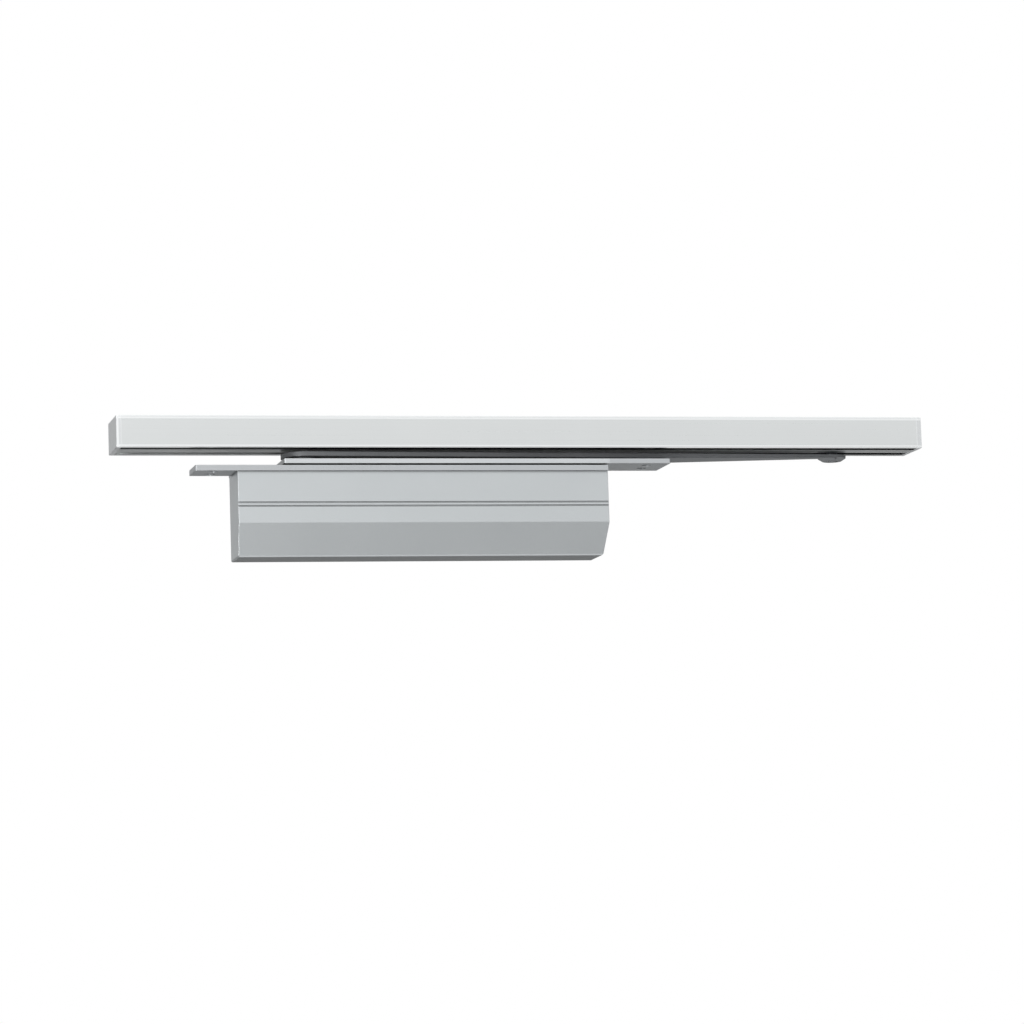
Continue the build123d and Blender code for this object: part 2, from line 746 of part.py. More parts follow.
lower_plate.part.label = "lower_plate"

# Cover plate: the flat plate that the arm swings over, with a pocket under its right
# end for the bracket's tongue.
cover_left = spindle_x - cover_left_of_spindle
cover_right = housing_right + cover_past_housing
tongue_left = cover_right - tongue_length
with BuildPart() as cover_plate:
    with BuildSketch(Plane.XY.offset(cover_bottom)):
        with Locations((cover_left, plate_front)):
            Rectangle(cover_right - cover_left, plate_depth, align=(Align.MIN, Align.MIN))
        with Locations((spindle_x, spindle_y)):
            Circle(arm_collar_hole_radius, mode=Mode.SUBTRACT)
    extrude(amount=cover_plate_thickness)
    left_corners = cover_plate.edges().filter_by(Axis.Z).group_by(Axis.X)[0]
    fillet(left_corners, plate_corner_radius)
    cover_rims = cover_plate.faces().sort_by(Axis.Z)[-1].outer_wire().edges()
    fillet(cover_rims.sort_by(Axis.X)[:-1], plate_edge_radius)
    with BuildSketch(Plane.XY.offset(cover_bottom)):
        with Locations((cover_right, spindle_y)):
            Rectangle(
                2 * (tongue_length + tongue_clearance),
                tongue_width + 2 * tongue_clearance,
            )
    extrude(amount=tongue_thickness + running_fit, mode=Mode.SUBTRACT)
    with Locations(*[(x, y, cover_top) for x, y in screw_places]):
        CounterSinkHole(screw_hole_radius, screw_head_radius + general_gap)
cover_plate.part.label = "cover_plate"

# Right fixing bracket: a lug that carries on from the cover plate, with a thin tongue
# clamped between the cover plate and the pads.
bracket_right = cover_right + right_lug_length
right_hole_x = bracket_right - right_lug_hole_inset
right_hole_ys = [spindle_y - lug_hole_spacing / 2, spindle_y + lug_hole_spacing / 2]
tongue_screws = [(x, y) for x, y in screw_places if x > tongue_left]
with BuildPart() as right_fixing_bracket:
    with BuildSketch(Plane.XY.offset(cover_bottom)):
        with Locations((cover_right, plate_front)):
            Rectangle(right_lug_length, plate_depth, align=(Align.MIN, Align.MIN))
    extrude(amount=cover_plate_thickness)
    bracket_corners = right_fixing_bracket.edges().filter_by(Axis.Z).group_by(Axis.X)[-1]
    fillet(bracket_corners, plate_corner_radius)
    bracket_rims = right_fixing_bracket.faces().sort_by(Axis.Z)[-1].outer_wire().edges()
    fillet(bracket_rims.sort_by(Axis.X)[1:], plate_edge_radius)
    with BuildSketch(Plane.XY.offset(cover_bottom)):
        with Locations((tongue_left, spindle_y)):
            Rectangle(tongue_length, tongue_width, align=(Align.MIN, Align.CENTER))
    extrude(amount=tongue_thickness)
    with BuildSketch(Plane.XY.offset(cover_bottom)):
        with Locations(*[(right_hole_x, y) for y in right_hole_ys]):
            Circle(lug_hole_radius)
    extrude(amount=cover_plate_thickness, mode=Mode.SUBTRACT)
    with Locations(*[(x, y, cover_top) for x, y in tongue_screws]):
        CounterSinkHole(screw_hole_radius, screw_head_radius + general_gap)
right_fixing_bracket.part.label = "right_fixing_bracket"

# Plate screws: countersunk, with hexagon sockets, flush in the cover plate.
screw_head_height = screw_head_radius - screw_radius
with BuildPart() as plate_screws:
    with BuildSketch(Plane.XY.offset(screw_tip)):
        with Locations(*screw_places):
            Circle(screw_radius)
    extrude(amount=screw_length)
    with BuildSketch(Plane.XY.offset(screw_head_top)):
        with Locations(*screw_places):
            Circle(screw_head_radius)
    extrude(amount=-screw_head_height, taper=countersink_taper)
    with BuildSketch(Plane.XY.offset(screw_head_top - screw_socket_depth)):
        with Locations(*screw_places):
            RegularPolygon(screw_socket_radius, hexagon_sides)
    extrude(amount=screw_socket_depth, mode=Mode.SUBTRACT)
plate_screws.part.label = "plate_screws"

# Arm: a flat steel arm. Its front edge is the common tangent of the hub and the boss.
# Its back edge leaves the hub at a tangent, comes a little nearer to the front edge,
# and then tapers to a thin neck.
arm_turn = atan2(slide_pin_y - spindle_y, slide_pin_x - spindle_x)
front_normal = arm_turn - acos((arm_hub_radius - arm_boss_radius) / arm_centre_distance)
hub_front = (
    spindle_x + arm_hub_radius * cos(front_normal),
    spindle_y + arm_hub_radius * sin(front_normal),
)
boss_front = (
    slide_pin_x + arm_boss_radius * cos(front_normal),
    slide_pin_y + arm_boss_radius * sin(front_normal),
)
front_run = hypot(boss_front[0] - hub_front[0], boss_front[1] - hub_front[1])
run_x = (boss_front[0] - hub_front[0]) / front_run
run_y = (boss_front[1] - hub_front[1]) / front_run


def arm_point(run, width):
    # The point so far along the arm's front edge and so far behind it.
    return (hub_front[0] + run * run_x - width * run_y, hub_front[1] + run * run_y + width * run_x)


taper_point = arm_point(arm_taper_start, arm_taper_width)
neck_back = arm_point(front_run - arm_neck_from_boss, arm_neck_width)
taper_x = taper_point[0] - spindle_x
taper_y = taper_point[1] - spindle_y
back_normal = atan2(taper_y, taper_x) + acos(arm_hub_radius / hypot(taper_x, taper_y))
hub_back = (
    spindle_x + arm_hub_radius * cos(back_normal),
    spindle_y + arm_hub_radius * sin(back_normal),
)
arm_boss_bottom = arm_bottom - arm_boss_drop
arm_boss_rim = arm_boss_bottom + arm_boss_foot_height
boss_taper = atan2(arm_boss_radius - arm_boss_foot_radius, arm_boss_foot_height)
with BuildPart() as arm:
    with BuildSketch(Plane.XY.offset(arm_bottom)):
        with BuildLine():
            Polyline(
                (spindle_x, spindle_y),
                hub_front,
                boss_front,
                (slide_pin_x, slide_pin_y),
                neck_back,
                taper_point,
                hub_back,
                close=True,
            )
        make_face()
        with Locations((spindle_x, spindle_y)):
            Circle(arm_hub_radius)
    extrude(amount=arm_thickness)
    # The underside rises towards the boss.
    with BuildSketch(Plane.XZ.offset(-spindle_y)):
        with BuildLine():
            Polyline(
                (taper_point[0], arm_bottom),
                (slide_pin_x, arm_bottom + arm_neck_thinning),
                (slide_pin_x, arm_bottom),
                close=True,
            )
        make_face()
    extrude(amount=channel_depth, both=True, mode=Mode.SUBTRACT)
    with BuildSketch(Plane.XY.offset(arm_boss_rim)):
        with Locations((slide_pin_x, slide_pin_y)):
            Circle(arm_boss_radius)
    extrude(amount=arm_top - arm_boss_rim)
    with BuildSketch(Plane.XY.offset(arm_boss_rim)):
        with Locations((slide_pin_x, slide_pin_y)):
            Circle(arm_boss_radius)
    extrude(amount=-arm_boss_foot_height, taper=degrees(boss_taper))
    fillet(arm.faces().sort_by(Axis.Z)[-1].outer_wire().edges(), arm_edge_radius)
    with BuildSketch(Plane.XY.offset(arm_boss_bottom)):
        with Locations((slide_pin_x, slide_pin_y)):
            Circle(slide_pin_radius + static_fit)
    extrude(amount=arm_top - arm_boss_bottom, mode=Mode.SUBTRACT)
    with BuildSketch(Plane.XY.offset(arm_bottom - arm_collar_length)):
        with Locations((spindle_x, spindle_y)):
            Circle(arm_collar_radius)
            RectangleRounded(
                square_width + 2 * running_fit,
                square_width + 2 * running_fit,
                square_corner_radius,
                mode=Mode.SUBTRACT,
            )
    extrude(amount=arm_collar_length)
    with Locations((spindle_x, spindle_y, arm_top)):
        CounterSinkHole(arm_screw_hole_radius, arm_screw_head_radius + general_gap, depth=arm_thickness)
arm.part.label = "arm"

# Arm screw: countersunk, pulls the arm down on the spindle's square.
arm_screw_top = arm_top - screw_head_sink
arm_screw_head_height = arm_screw_head_radius - arm_screw_radius
with BuildPart() as arm_screw:
    with BuildSketch(Plane.XY.offset(arm_screw_top - arm_screw_length)):
        with Locations((spindle_x, spindle_y)):
            Circle(arm_screw_radius)
    extrude(amount=arm_screw_length)
    with BuildSketch(Plane.XY.offset(arm_screw_top)):
        with Locations((spindle_x, spindle_y)):
            Circle(arm_screw_head_radius)
    extrude(amount=-arm_screw_head_height, taper=countersink_taper)
    with BuildSketch(Plane.XY.offset(arm_screw_top - arm_screw_socket_depth)):
        with Locations((spindle_x, spindle_y)):
            RegularPolygon(arm_screw_socket_radius, hexagon_sides)
    extrude(amount=arm_screw_socket_depth, mode=Mode.SUBTRACT)
arm_screw.part.label = "arm_screw"

# Slide block: a moulded block that runs in the channel's rear chamber, with rounded
# corners and two upright grease grooves in each side.
block_bottom = channel_bottom + channel_wall + block_over_lips
block_top = block_bottom + block_height
block_width = chamber_width - 2 * block_side_gap
with BuildPart() as slide_block:
    with BuildSketch(Plane.XY.offset(block_bottom)):
        with Locations((slide_pin_x, slide_pin_y)):
            RectangleRounded(block_length, block_width, block_corner_radius)
            Circle(slide_pin_radius + running_fit, mode=Mode.SUBTRACT)
    extrude(amount=block_height)
    with BuildSketch(Plane.XY.offset(block_bottom)):
        with Locations((slide_pin_x, slide_pin_y)):
            with GridLocations(block_relief_spread, block_width, 2, 2):
                Rectangle(block_relief_width, 2 * block_relief_depth)
    extrude(amount=block_height, mode=Mode.SUBTRACT)
slide_block.part.label = "slide_block"

# Retaining ring: an open ring in a groove of the pin, just above the block.
ring_bottom = block_top + general_gap
ring_top = ring_bottom + ring_thickness
ring_seat_radius = slide_pin_radius - ring_groove_depth
with BuildPart() as pin_retaining_ring:
    with BuildSketch(Plane.XY.offset(ring_bottom)):
        with Locations((slide_pin_x, slide_pin_y)):
            Circle(ring_outer_radius)
            Circle(ring_seat_radius + static_fit, mode=Mode.SUBTRACT)
        with Locations((slide_pin_x + ring_outer_radius, slide_pin_y)):
            Rectangle(2 * ring_outer_radius, ring_opening, mode=Mode.SUBTRACT)
    extrude(amount=ring_thickness)
pin_retaining_ring.part.label = "pin_retaining_ring"

# Slide pin: riveted in the arm's boss, it goes up through the slot into the block.
slide_pin_top = ring_top + slide_pin_past_ring
with BuildPart() as slide_pin:
    with BuildSketch(Plane.XY.offset(arm_boss_bottom)):
        with Locations((slide_pin_x, slide_pin_y)):
            Circle(slide_pin_radius)
    extrude(amount=slide_pin_top - arm_boss_bottom)
    with BuildSketch(Plane.XY.offset(ring_bottom - static_fit)):
        with Locations((slide_pin_x, slide_pin_y)):
            Circle(slide_pin_radius)
            Circle(ring_seat_radius, mode=Mode.SUBTRACT)
    extrude(amount=ring_thickness + 2 * static_fit, mode=Mode.SUBTRACT)
slide_pin.part.label = "slide_pin"

# Slide channel: an aluminium extrusion. The block runs in its rear chamber, over a
# slot in the underside. The front chamber is closed and only stiffens it.
extrusion_left = channel_left + cap_thickness
extrusion_length = channel_length - 2 * cap_thickness
chamber_bottom = channel_bottom + channel_wall
chamber_height = channel_height - 2 * channel_wall
chamber_mid_z = chamber_bottom + chamber_height / 2
front_chamber_left = channel_front + channel_wall
front_chamber_right = slide_pin_y - chamber_width / 2 - channel_wall
front_chamber_width = front_chamber_right - front_chamber_left
front_chamber_mid = (front_chamber_left + front_chamber_right) / 2
channel_mid_z = (channel_bottom + channel_top) / 2
with BuildPart() as slide_channel:
    with BuildSketch(Plane.YZ.offset(extrusion_left)):
        with Locations((spindle_y, channel_mid_z)):
            RectangleRounded(channel_depth, channel_height, channel_edge_radius)
        with Locations((slide_pin_y, chamber_mid_z)):
            Rectangle(chamber_width, chamber_height, mode=Mode.SUBTRACT)
        with Locations((front_chamber_mid, chamber_mid_z)):
            Rectangle(front_chamber_width, chamber_height, mode=Mode.SUBTRACT)
        with Locations((slide_pin_y, channel_bottom)):
            Rectangle(slot_width, 2 * channel_wall, mode=Mode.SUBTRACT)
    extrude(amount=extrusion_length)
    with BuildSketch(Plane.XY.offset(channel_top - channel_wall)):
        with Locations(
            (channel_left + channel_hole_inset, slide_pin_y),
            (channel_right - channel_hole_inset, slide_pin_y),
        ):
            Circle(channel_hole_radius)
    extrude(amount=channel_wall, mode=Mode.SUBTRACT)
slide_channel.part.label = "slide_channel"

# Channel end caps: a plate with the channel's outline and two tenons, one in each
# chamber. The tenon in the rear chamber is the block's end stop.
caps = []
for cap_left, tenon_left in (
    (channel_left, extrusion_left),
    (channel_right - cap_thickness, channel_right - cap_thickness - cap_tenon_length),
):
    with BuildPart() as cap:
        with BuildSketch(Plane.YZ.offset(cap_left)):
            with Locations((spindle_y, channel_mid_z)):
                RectangleRounded(channel_depth, channel_height, channel_edge_radius)
        extrude(amount=cap_thickness)
        with BuildSketch(Plane.YZ.offset(tenon_left)):
            with Locations((slide_pin_y, chamber_mid_z)):
                Rectangle(chamber_width - 2 * cap_tenon_gap, chamber_height - 2 * cap_tenon_gap)
            with Locations((front_chamber_mid, chamber_mid_z)):
                Rectangle(front_chamber_width - 2 * cap_tenon_gap, chamber_height - 2 * cap_tenon_gap)
        extrude(amount=cap_tenon_length)
    caps.append(cap.part)
channel_left_cap, channel_right_cap = caps
channel_left_cap.label = "channel_left_cap"
channel_right_cap.label = "channel_right_cap"

pieces = [
    housing.part,
    end_plug.part,
    plug_seal.part,
    spindle_gland.part,
    spindle_seal.part,
    upper_bearing.part,
    lower_bearing.part,
    cam_spindle.part,
    spring_piston.part,
    damping_piston.part,
    damping_piston_seal.part,
    check_valve_ball.part,
    spring_roller.part,
    damping_roller.part,
    roller_pins.part,
    piston_tie_plates.part,
    spring_seat.part,
    spring_adjusting_screw.part,
    closing_spring.part,
    closing_speed_valve,
    latching_speed_valve,
    closing_valve_seal,
    latching_valve_seal,
    lower_plate.part,
    cover_plate.part,
    right_fixing_bracket.part,
    plate_screws.part,
    arm.part,
    arm_screw.part,
    slide_block.part,
    pin_retaining_ring.part,
    slide_pin.part,
    slide_channel.part,
    channel_left_cap,
    channel_right_cap,
]
os.makedirs("parts", exist_ok=True)
for piece in pieces:
    export_step(piece, f"parts/{piece.label}.step")
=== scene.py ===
import math

import bpy
from mathutils import Matrix, Vector


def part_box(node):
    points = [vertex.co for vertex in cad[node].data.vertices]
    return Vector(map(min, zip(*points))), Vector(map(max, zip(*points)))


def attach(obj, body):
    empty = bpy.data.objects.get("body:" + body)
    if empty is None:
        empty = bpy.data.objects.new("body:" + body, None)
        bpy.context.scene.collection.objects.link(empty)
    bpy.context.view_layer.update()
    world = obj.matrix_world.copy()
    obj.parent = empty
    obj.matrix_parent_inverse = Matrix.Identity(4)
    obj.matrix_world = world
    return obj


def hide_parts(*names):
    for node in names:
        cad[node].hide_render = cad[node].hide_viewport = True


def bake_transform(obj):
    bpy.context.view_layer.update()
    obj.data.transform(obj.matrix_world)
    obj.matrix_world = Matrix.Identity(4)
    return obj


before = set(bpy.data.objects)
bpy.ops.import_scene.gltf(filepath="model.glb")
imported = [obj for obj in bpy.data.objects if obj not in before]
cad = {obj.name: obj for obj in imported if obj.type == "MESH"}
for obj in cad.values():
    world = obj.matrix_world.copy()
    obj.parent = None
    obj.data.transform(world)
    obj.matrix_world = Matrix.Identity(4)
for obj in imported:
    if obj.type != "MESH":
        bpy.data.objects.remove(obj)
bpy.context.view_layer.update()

# Housing. A die-cast block with two fine grooves and a facet along its front, machined at
# its ends and top, then sprayed a satin silver: metal flake in the paint, a faint orange
# peel and paler rubbed corners. Its colour also carries painted shade in the grooves,
# under overhangs and on the underside.
paint_dark = (0.600, 0.626, 0.637)
paint_light = (0.640, 0.665, 0.675)
paint_rubbed = (0.76, 0.78, 0.79)
paint_shade = (0.10, 0.105, 0.11)
paint_gloss = (0.30, 0.37)
paint_rub_strength = 0.3
paint_rub_reach = 0.0004
paint_shade_reach = 0.0018
underside_shade = 0.45
flakes_per_metre = 3800.0
clouds_per_metre = 24.0
peel_per_metre = 520.0
peel_depth = 0.000008


def coat(piece, material):
    # Gives the whole piece one finish.
    piece.data.materials.clear()
    piece.data.materials.append(material)


def new_finish(name, metallic):
    # An empty finish: its material, nodes and shader, and the piece's own place.
    material = bpy.data.materials.new(name)
    material.use_nodes = True
    tree = material.node_tree
    shader = tree.nodes["Principled BSDF"]
    shader.inputs["Metallic"].default_value = metallic
    place = tree.nodes.new("ShaderNodeTexCoord").outputs["Object"]
    return material, tree, shader, place


def noise(tree, place, scale, detail):
    # A noise over the place, at so many waves to the metre.
    pattern = tree.nodes.new("ShaderNodeTexNoise")
    pattern.inputs["Scale"].default_value = scale
    pattern.inputs["Detail"].default_value = detail
    tree.links.new(place, pattern.inputs["Vector"])
    return pattern.outputs["Fac"]


def overlaid(tree, first, second, share):
    # So much of the second pattern over the first.
    both = tree.nodes.new("ShaderNodeMix")
    both.inputs["Factor"].default_value = share
    tree.links.new(first, both.inputs["A"])
    tree.links.new(second, both.inputs["B"])
    return both.outputs["Result"]


def mapped(tree, value, start, end, low=0.0, high=1.0):
    # The value's run from start to end becomes a run from low to high.
    run = tree.nodes.new("ShaderNodeMapRange")
    run.inputs["From Min"].default_value = start
    run.inputs["From Max"].default_value = end
    run.inputs["To Min"].default_value = low
    run.inputs["To Max"].default_value = high
    tree.links.new(value, run.inputs["Value"])
    return run.outputs["Result"]


def between(tree, pattern, low, high):
    # The pattern's middle part spread between two values.
    return mapped(tree, pattern, start=0.3, end=0.7, low=low, high=high)


def two_tones(tree, pattern, dark, light):
    # A colour between two tones of one finish.
    ramp = tree.nodes.new("ShaderNodeValToRGB")
    for stop, position, tone in zip(ramp.color_ramp.elements, (0.32, 0.68), (dark, light)):
        stop.position = position
        stop.color = (*tone, 1)
    tree.links.new(pattern, ramp.inputs["Fac"])
    return ramp.outputs["Color"]


def tinted(tree, colour, share, tone, way="MIX"):
    # So much of one tone over the colour.
    mixed = tree.nodes.new("ShaderNodeMix")
    mixed.data_type = "RGBA"
    mixed.blend_type = way
    mixed.inputs["B"].default_value = (*tone, 1)
    tree.links.new(share, mixed.inputs["Factor"])
    tree.links.new(colour, mixed.inputs["A"])
    return mixed.outputs["Result"]


def edge_wear_and_painted_light(tree, colour, edge_tone, strength, reach):
    # Where the surface turns sharply, the colour turns to another tone: rubbed wear on most
    # finishes, a painted highlight on the channel and its caps, near-black on the arm. The
    # eased normal comes back too.
    corner = tree.nodes.new("ShaderNodeBevel")
    corner.samples = 4
    corner.inputs["Radius"].default_value = reach
    flat = tree.nodes.new("ShaderNodeNewGeometry")
    agree = tree.nodes.new("ShaderNodeVectorMath")
    agree.operation = "DOT_PRODUCT"
    tree.links.new(corner.outputs["Normal"], agree.inputs[0])
    tree.links.new(flat.outputs["Normal"], agree.inputs[1])
    sharp = mapped(tree, agree.outputs["Value"], start=0.99, end=0.8, high=strength)
    return tinted(tree, colour, sharp, edge_tone), corner.outputs["Normal"]


def shaded_corners(tree, colour, shade, reach):
    # Painted shade: the colour darkens in grooves and under overhangs.
    corner = tree.nodes.new("ShaderNodeAmbientOcclusion")
    corner.samples = 8
    corner.inputs["Distance"].default_value = reach
    closed = mapped(tree, corner.outputs["AO"], start=0.95, end=0.35)
    return tinted(tree, colour, closed, shade)


def shaded_side(tree, colour, side, tone):
    # Painted shade: a darker tone on the faces that look to one side.
    facing = tree.nodes.new("ShaderNodeVectorMath")
    facing.operation = "DOT_PRODUCT"
    facing.inputs[1].default_value = side
    tree.links.new(tree.nodes.new("ShaderNodeTexCoord").outputs["Normal"], facing.inputs[0])
    share = mapped(tree, facing.outputs["Value"], start=0.7, end=0.95)
    return tinted(tree, colour, share, (tone, tone, tone), "MULTIPLY")


def relief(tree, shader, height, depth, normal=None):
    # Raises the pattern so far from the surface.
    bump = tree.nodes.new("ShaderNodeBump")
    bump.inputs["Distance"].default_value = depth
    tree.links.new(height, bump.inputs["Height"])
    if normal:
        tree.links.new(normal, bump.inputs["Normal"])
    tree.links.new(bump.outputs["Normal"], shader.inputs["Normal"])


silver_paint, tree, shader, place = new_finish("silver_paint", metallic=0.85)
shader.inputs["Coat Weight"].default_value = 0.25
shader.inputs["Coat Roughness"].default_value = 0.3
flake = noise(tree, place, scale=flakes_per_metre, detail=2.0)
cloud = noise(tree, place, scale=clouds_per_metre, detail=4.0)
peel = noise(tree, place, scale=peel_per_metre, detail=2.0)
paint = two_tones(tree, overlaid(tree, flake, cloud, share=0.45), paint_dark, paint_light)
paint, eased = edge_wear_and_painted_light(tree, paint, paint_rubbed, paint_rub_strength, paint_rub_reach)
# Painted shade: darker in the grooves, under overhangs and on the underside.
paint = shaded_corners(tree, paint, paint_shade, paint_shade_reach)
paint = shaded_side(tree, paint, (0, 0, -1), underside_shade)
tree.links.new(paint, shader.inputs["Base Color"])
tree.links.new(between(tree, flake, *paint_gloss), shader.inputs["Roughness"])
relief(tree, shader, overlaid(tree, peel, flake, share=0.3), peel_depth, eased)
coat(cad["housing"], silver_paint)

# Closing drive inside the housing. The heart cam and its spindle, the rollers on their
# pins and the tie plates are hardened and ground, the bearings are sintered bronze, and
# the seals are black rubber.
pits_per_metre = 4200.0
metal_clouds_per_metre = 30.0
corner_shade = 0.2
widest_eased_edge = 0.0005
rubber_dark = (0.018, 0.018, 0.02)
rubber_light = (0.045, 0.045, 0.047)
rubber_gloss = (0.45, 0.65)


def drawn_marks(tree, place, grain):
    # Grinding or drawing marks: a noise with its own number of waves along each axis.
    stretch = tree.nodes.new("ShaderNodeMapping")
    stretch.inputs["Scale"].default_value = grain
    tree.links.new(place, stretch.inputs["Vector"])
    return noise(tree, stretch.outputs["Vector"], scale=1.0, detail=5.0)


def ground_metal(
    name, dark, light, edge_tone, gloss, grain, depth, strength=0.5, corners=0.002, edge=0.0004
):
    # A bare or plated metal with grinding or drawing marks along one axis, fine pits, faint
    # clouds and painted shade in its corners. Its edges take another tone, rubbed wear on
    # most metals and a painted highlight on the channel; a wide edge changes the tone alone,
    # so that the face beside it stays flat.
    material, tree, shader, place = new_finish(name, metallic=1.0)
    marks = drawn_marks(tree, place, grain)
    pits = noise(tree, place, scale=pits_per_metre, detail=2.0)
    clouds = noise(tree, place, scale=metal_clouds_per_metre, detail=3.0)
    fine = overlaid(tree, marks, pits, share=0.35)
    colour = two_tones(tree, overlaid(tree, fine, clouds, share=0.4), dark, light)
    colour, eased = edge_wear_and_painted_light(tree, colour, edge_tone, strength, edge)
    colour = shaded_corners(tree, colour, [tone * corner_shade for tone in dark], corners)
    tree.links.new(colour, shader.inputs["Base Color"])
    tree.links.new(between(tree, fine, *gloss), shader.inputs["Roughness"])
    relief(tree, shader, fine, depth, None if edge > widest_eased_edge else eased)
    return material


hard_steel = ground_metal(
    "hard_steel",
    dark=(0.50, 0.50, 0.51), light=(0.60, 0.60, 0.61), edge_tone=(0.72, 0.72, 0.73),
    gloss=(0.16, 0.30), grain=(900, 900, 2600), depth=0.000006,
)
bronze = ground_metal(
    "sintered_bronze",
    dark=(0.50, 0.34, 0.18), light=(0.64, 0.45, 0.25), edge_tone=(0.74, 0.55, 0.32),
    gloss=(0.32, 0.50), grain=(1800, 1800, 1800), depth=0.00002,
)
for node in (
    "cam_spindle", "spring_roller", "damping_roller", "roller_pins", "piston_tie_plates",
    "check_valve_ball", "spindle_gland", "spring_seat", "end_plug",
):
    coat(cad[node], hard_steel)
for node in ("upper_bearing", "lower_bearing"):
    coat(cad[node], bronze)

rubber, tree, shader, place = new_finish("black_rubber", metallic=0.0)
dust = noise(tree, place, scale=300.0, detail=5.0)
skin = noise(tree, place, scale=3200.0, detail=2.0)
tree.links.new(two_tones(tree, dust, rubber_dark, rubber_light), shader.inputs["Base Color"])
tree.links.new(between(tree, dust, *rubber_gloss), shader.inputs["Roughness"])
relief(tree, shader, skin, depth=0.00002)
for node in (
    "spindle_seal", "plug_seal", "damping_piston_seal", "closing_valve_seal",
    "latching_valve_seal",
):
    coat(cad[node], rubber)

# Pistons. Cast iron, turned and ground on the outside, dark where the casting's skin is
# left and with fine turning marks round them.
piston_iron = ground_metal(
    "piston_iron",
    dark=(0.28, 0.28, 0.285), light=(0.38, 0.38, 0.39), edge_tone=(0.52, 0.52, 0.53),
    gloss=(0.24, 0.42), grain=(3000, 500, 500), depth=0.00001,
)
for node in ("spring_piston", "damping_piston"):
    coat(cad[node], piston_iron)

# Closing spring. Wound from rectangular spring wire and oil-hardened, nearly black, with
# brighter corners where the coils rub. It is cut in two at the middle, one half kept at the
# piston's end and the other at its seat's end.
merge_distance = 0.000001
spring_steel = ground_metal(
    "oiled_spring",
    dark=(0.16, 0.165, 0.18), light=(0.27, 0.28, 0.30), edge_tone=(0.45, 0.46, 0.47),
    gloss=(0.20, 0.34), grain=(1400, 1400, 1400), depth=0.00001, strength=0.8,
)


def only(piece):
    # Makes one object the active one and the only one selected.
    bpy.ops.object.select_all(action="DESELECT")
    piece.select_set(True)
    bpy.context.view_layer.objects.active = piece


spring_low, spring_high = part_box("closing_spring")
spring_middle = (spring_low + spring_high) / 2
for end, body, pressed_x in (
    ("piston_end", "pistons", spring_low.x), ("seat_end", "spring_nut", spring_high.x),
):
    half = bpy.data.objects.new("closing_spring_" + end, cad["closing_spring"].data.copy())
    bpy.context.scene.collection.objects.link(half)
    only(half)
    bpy.ops.object.mode_set(mode="EDIT")
    bpy.ops.mesh.select_mode(type="FACE")
    bpy.ops.mesh.select_all(action="SELECT")
    bpy.ops.mesh.remove_doubles(threshold=merge_distance)
    bpy.ops.mesh.bisect(
        plane_co=spring_middle, plane_no=(spring_middle.x - pressed_x, 0, 0), use_fill=True,
        clear_outer=True, threshold=merge_distance,
    )
    bpy.ops.object.mode_set(mode="OBJECT")
    coat(half, spring_steel)
    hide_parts("closing_spring")
    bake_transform(half)

# Lower plate, cover plate and right lug. Cold-rolled strip, blanked, drilled and zinc
# plated a cool grey, with rolling marks along the door. The cover plate's finish has a
# painted shade on the faces that look left. The spring's adjusting screw has the same
# plating.
left_end_shade = 0.6
zinc = ground_metal(
    "zinc_plate",
    dark=(0.68, 0.70, 0.715), light=(0.74, 0.76, 0.775), edge_tone=(0.86, 0.87, 0.88),
    gloss=(0.24, 0.34), grain=(9, 2200, 2200), depth=0.000006,
)
dull_zinc = ground_metal(
    "dull_zinc",
    dark=(0.56, 0.575, 0.59), light=(0.61, 0.625, 0.64), edge_tone=(0.78, 0.79, 0.80),
    gloss=(0.26, 0.36), grain=(9, 2200, 2200), depth=0.000005,
)
tree = zinc.node_tree
zinc_colour = tree.nodes["Principled BSDF"].inputs["Base Color"]
# Painted shade: the faces that look left are darker.
left_end_shaded = shaded_side(tree, zinc_colour.links[0].from_socket, (-1, 0, 0), left_end_shade)
tree.links.new(left_end_shaded, zinc_colour)
for node in ("cover_plate", "spring_adjusting_screw"):
    coat(cad[node], zinc)
for node in ("lower_plate", "right_fixing_bracket"):
    coat(cad[node], dull_zinc)

# Plate screws. Four countersunk steel screws, zinc plated, with a broached hexagon socket
# and a rolled thread. They hold both plates down on the housing.
screw_top = 0.00335
screw_places = [(0.077, 0.003), (0.077, 0.016), (0.201, 0.003), (0.201, 0.016)]
screw_rim = 0.00025
screw_rim_ease = 0.00008
screw_neck = 0.0003
thread_depth = 0.55
thread_foot, crest_start, crest_end, thread_end = 0.15, 0.45, 0.6, 0.9
tip_radius, tip_height = 0.6, 0.5
socket_sides = 6
socket_point = 0.0001
socket_mouth = 1.2
smooth_angle = math.radians(35)


def turned(name, middle, steps, sides=48):
    # A piece turned about an upright axis: a disc is drawn out from one radius and height
    # to the next.
    radius, height = steps[0]
    bpy.ops.object.select_all(action="DESELECT")
    bpy.ops.mesh.primitive_circle_add(
        vertices=sides, radius=radius, fill_type="NGON", location=(*middle, height)
    )
    piece = bpy.context.object
    piece.name = name
    bpy.ops.object.transform_apply(location=True, rotation=True, scale=True)
    bpy.ops.object.mode_set(mode="EDIT")
    bpy.ops.mesh.select_mode(type="FACE")
    bpy.ops.mesh.select_all(action="SELECT")
    for next_radius, next_height in steps[1:]:
        bpy.ops.mesh.extrude_region_move(
            TRANSFORM_OT_translate={"value": (0, 0, next_height - height)}
        )
        ratio = next_radius / radius
        bpy.ops.transform.resize(
            value=(ratio, ratio, 1), center_override=(*middle, next_height)
        )
        radius, height = next_radius, next_height
    bpy.ops.mesh.select_all(action="SELECT")
    bpy.ops.mesh.normals_make_consistent(inside=False)
    bpy.ops.object.mode_set(mode="OBJECT")
    bpy.ops.object.shade_smooth_by_angle(angle=smooth_angle)
    return piece


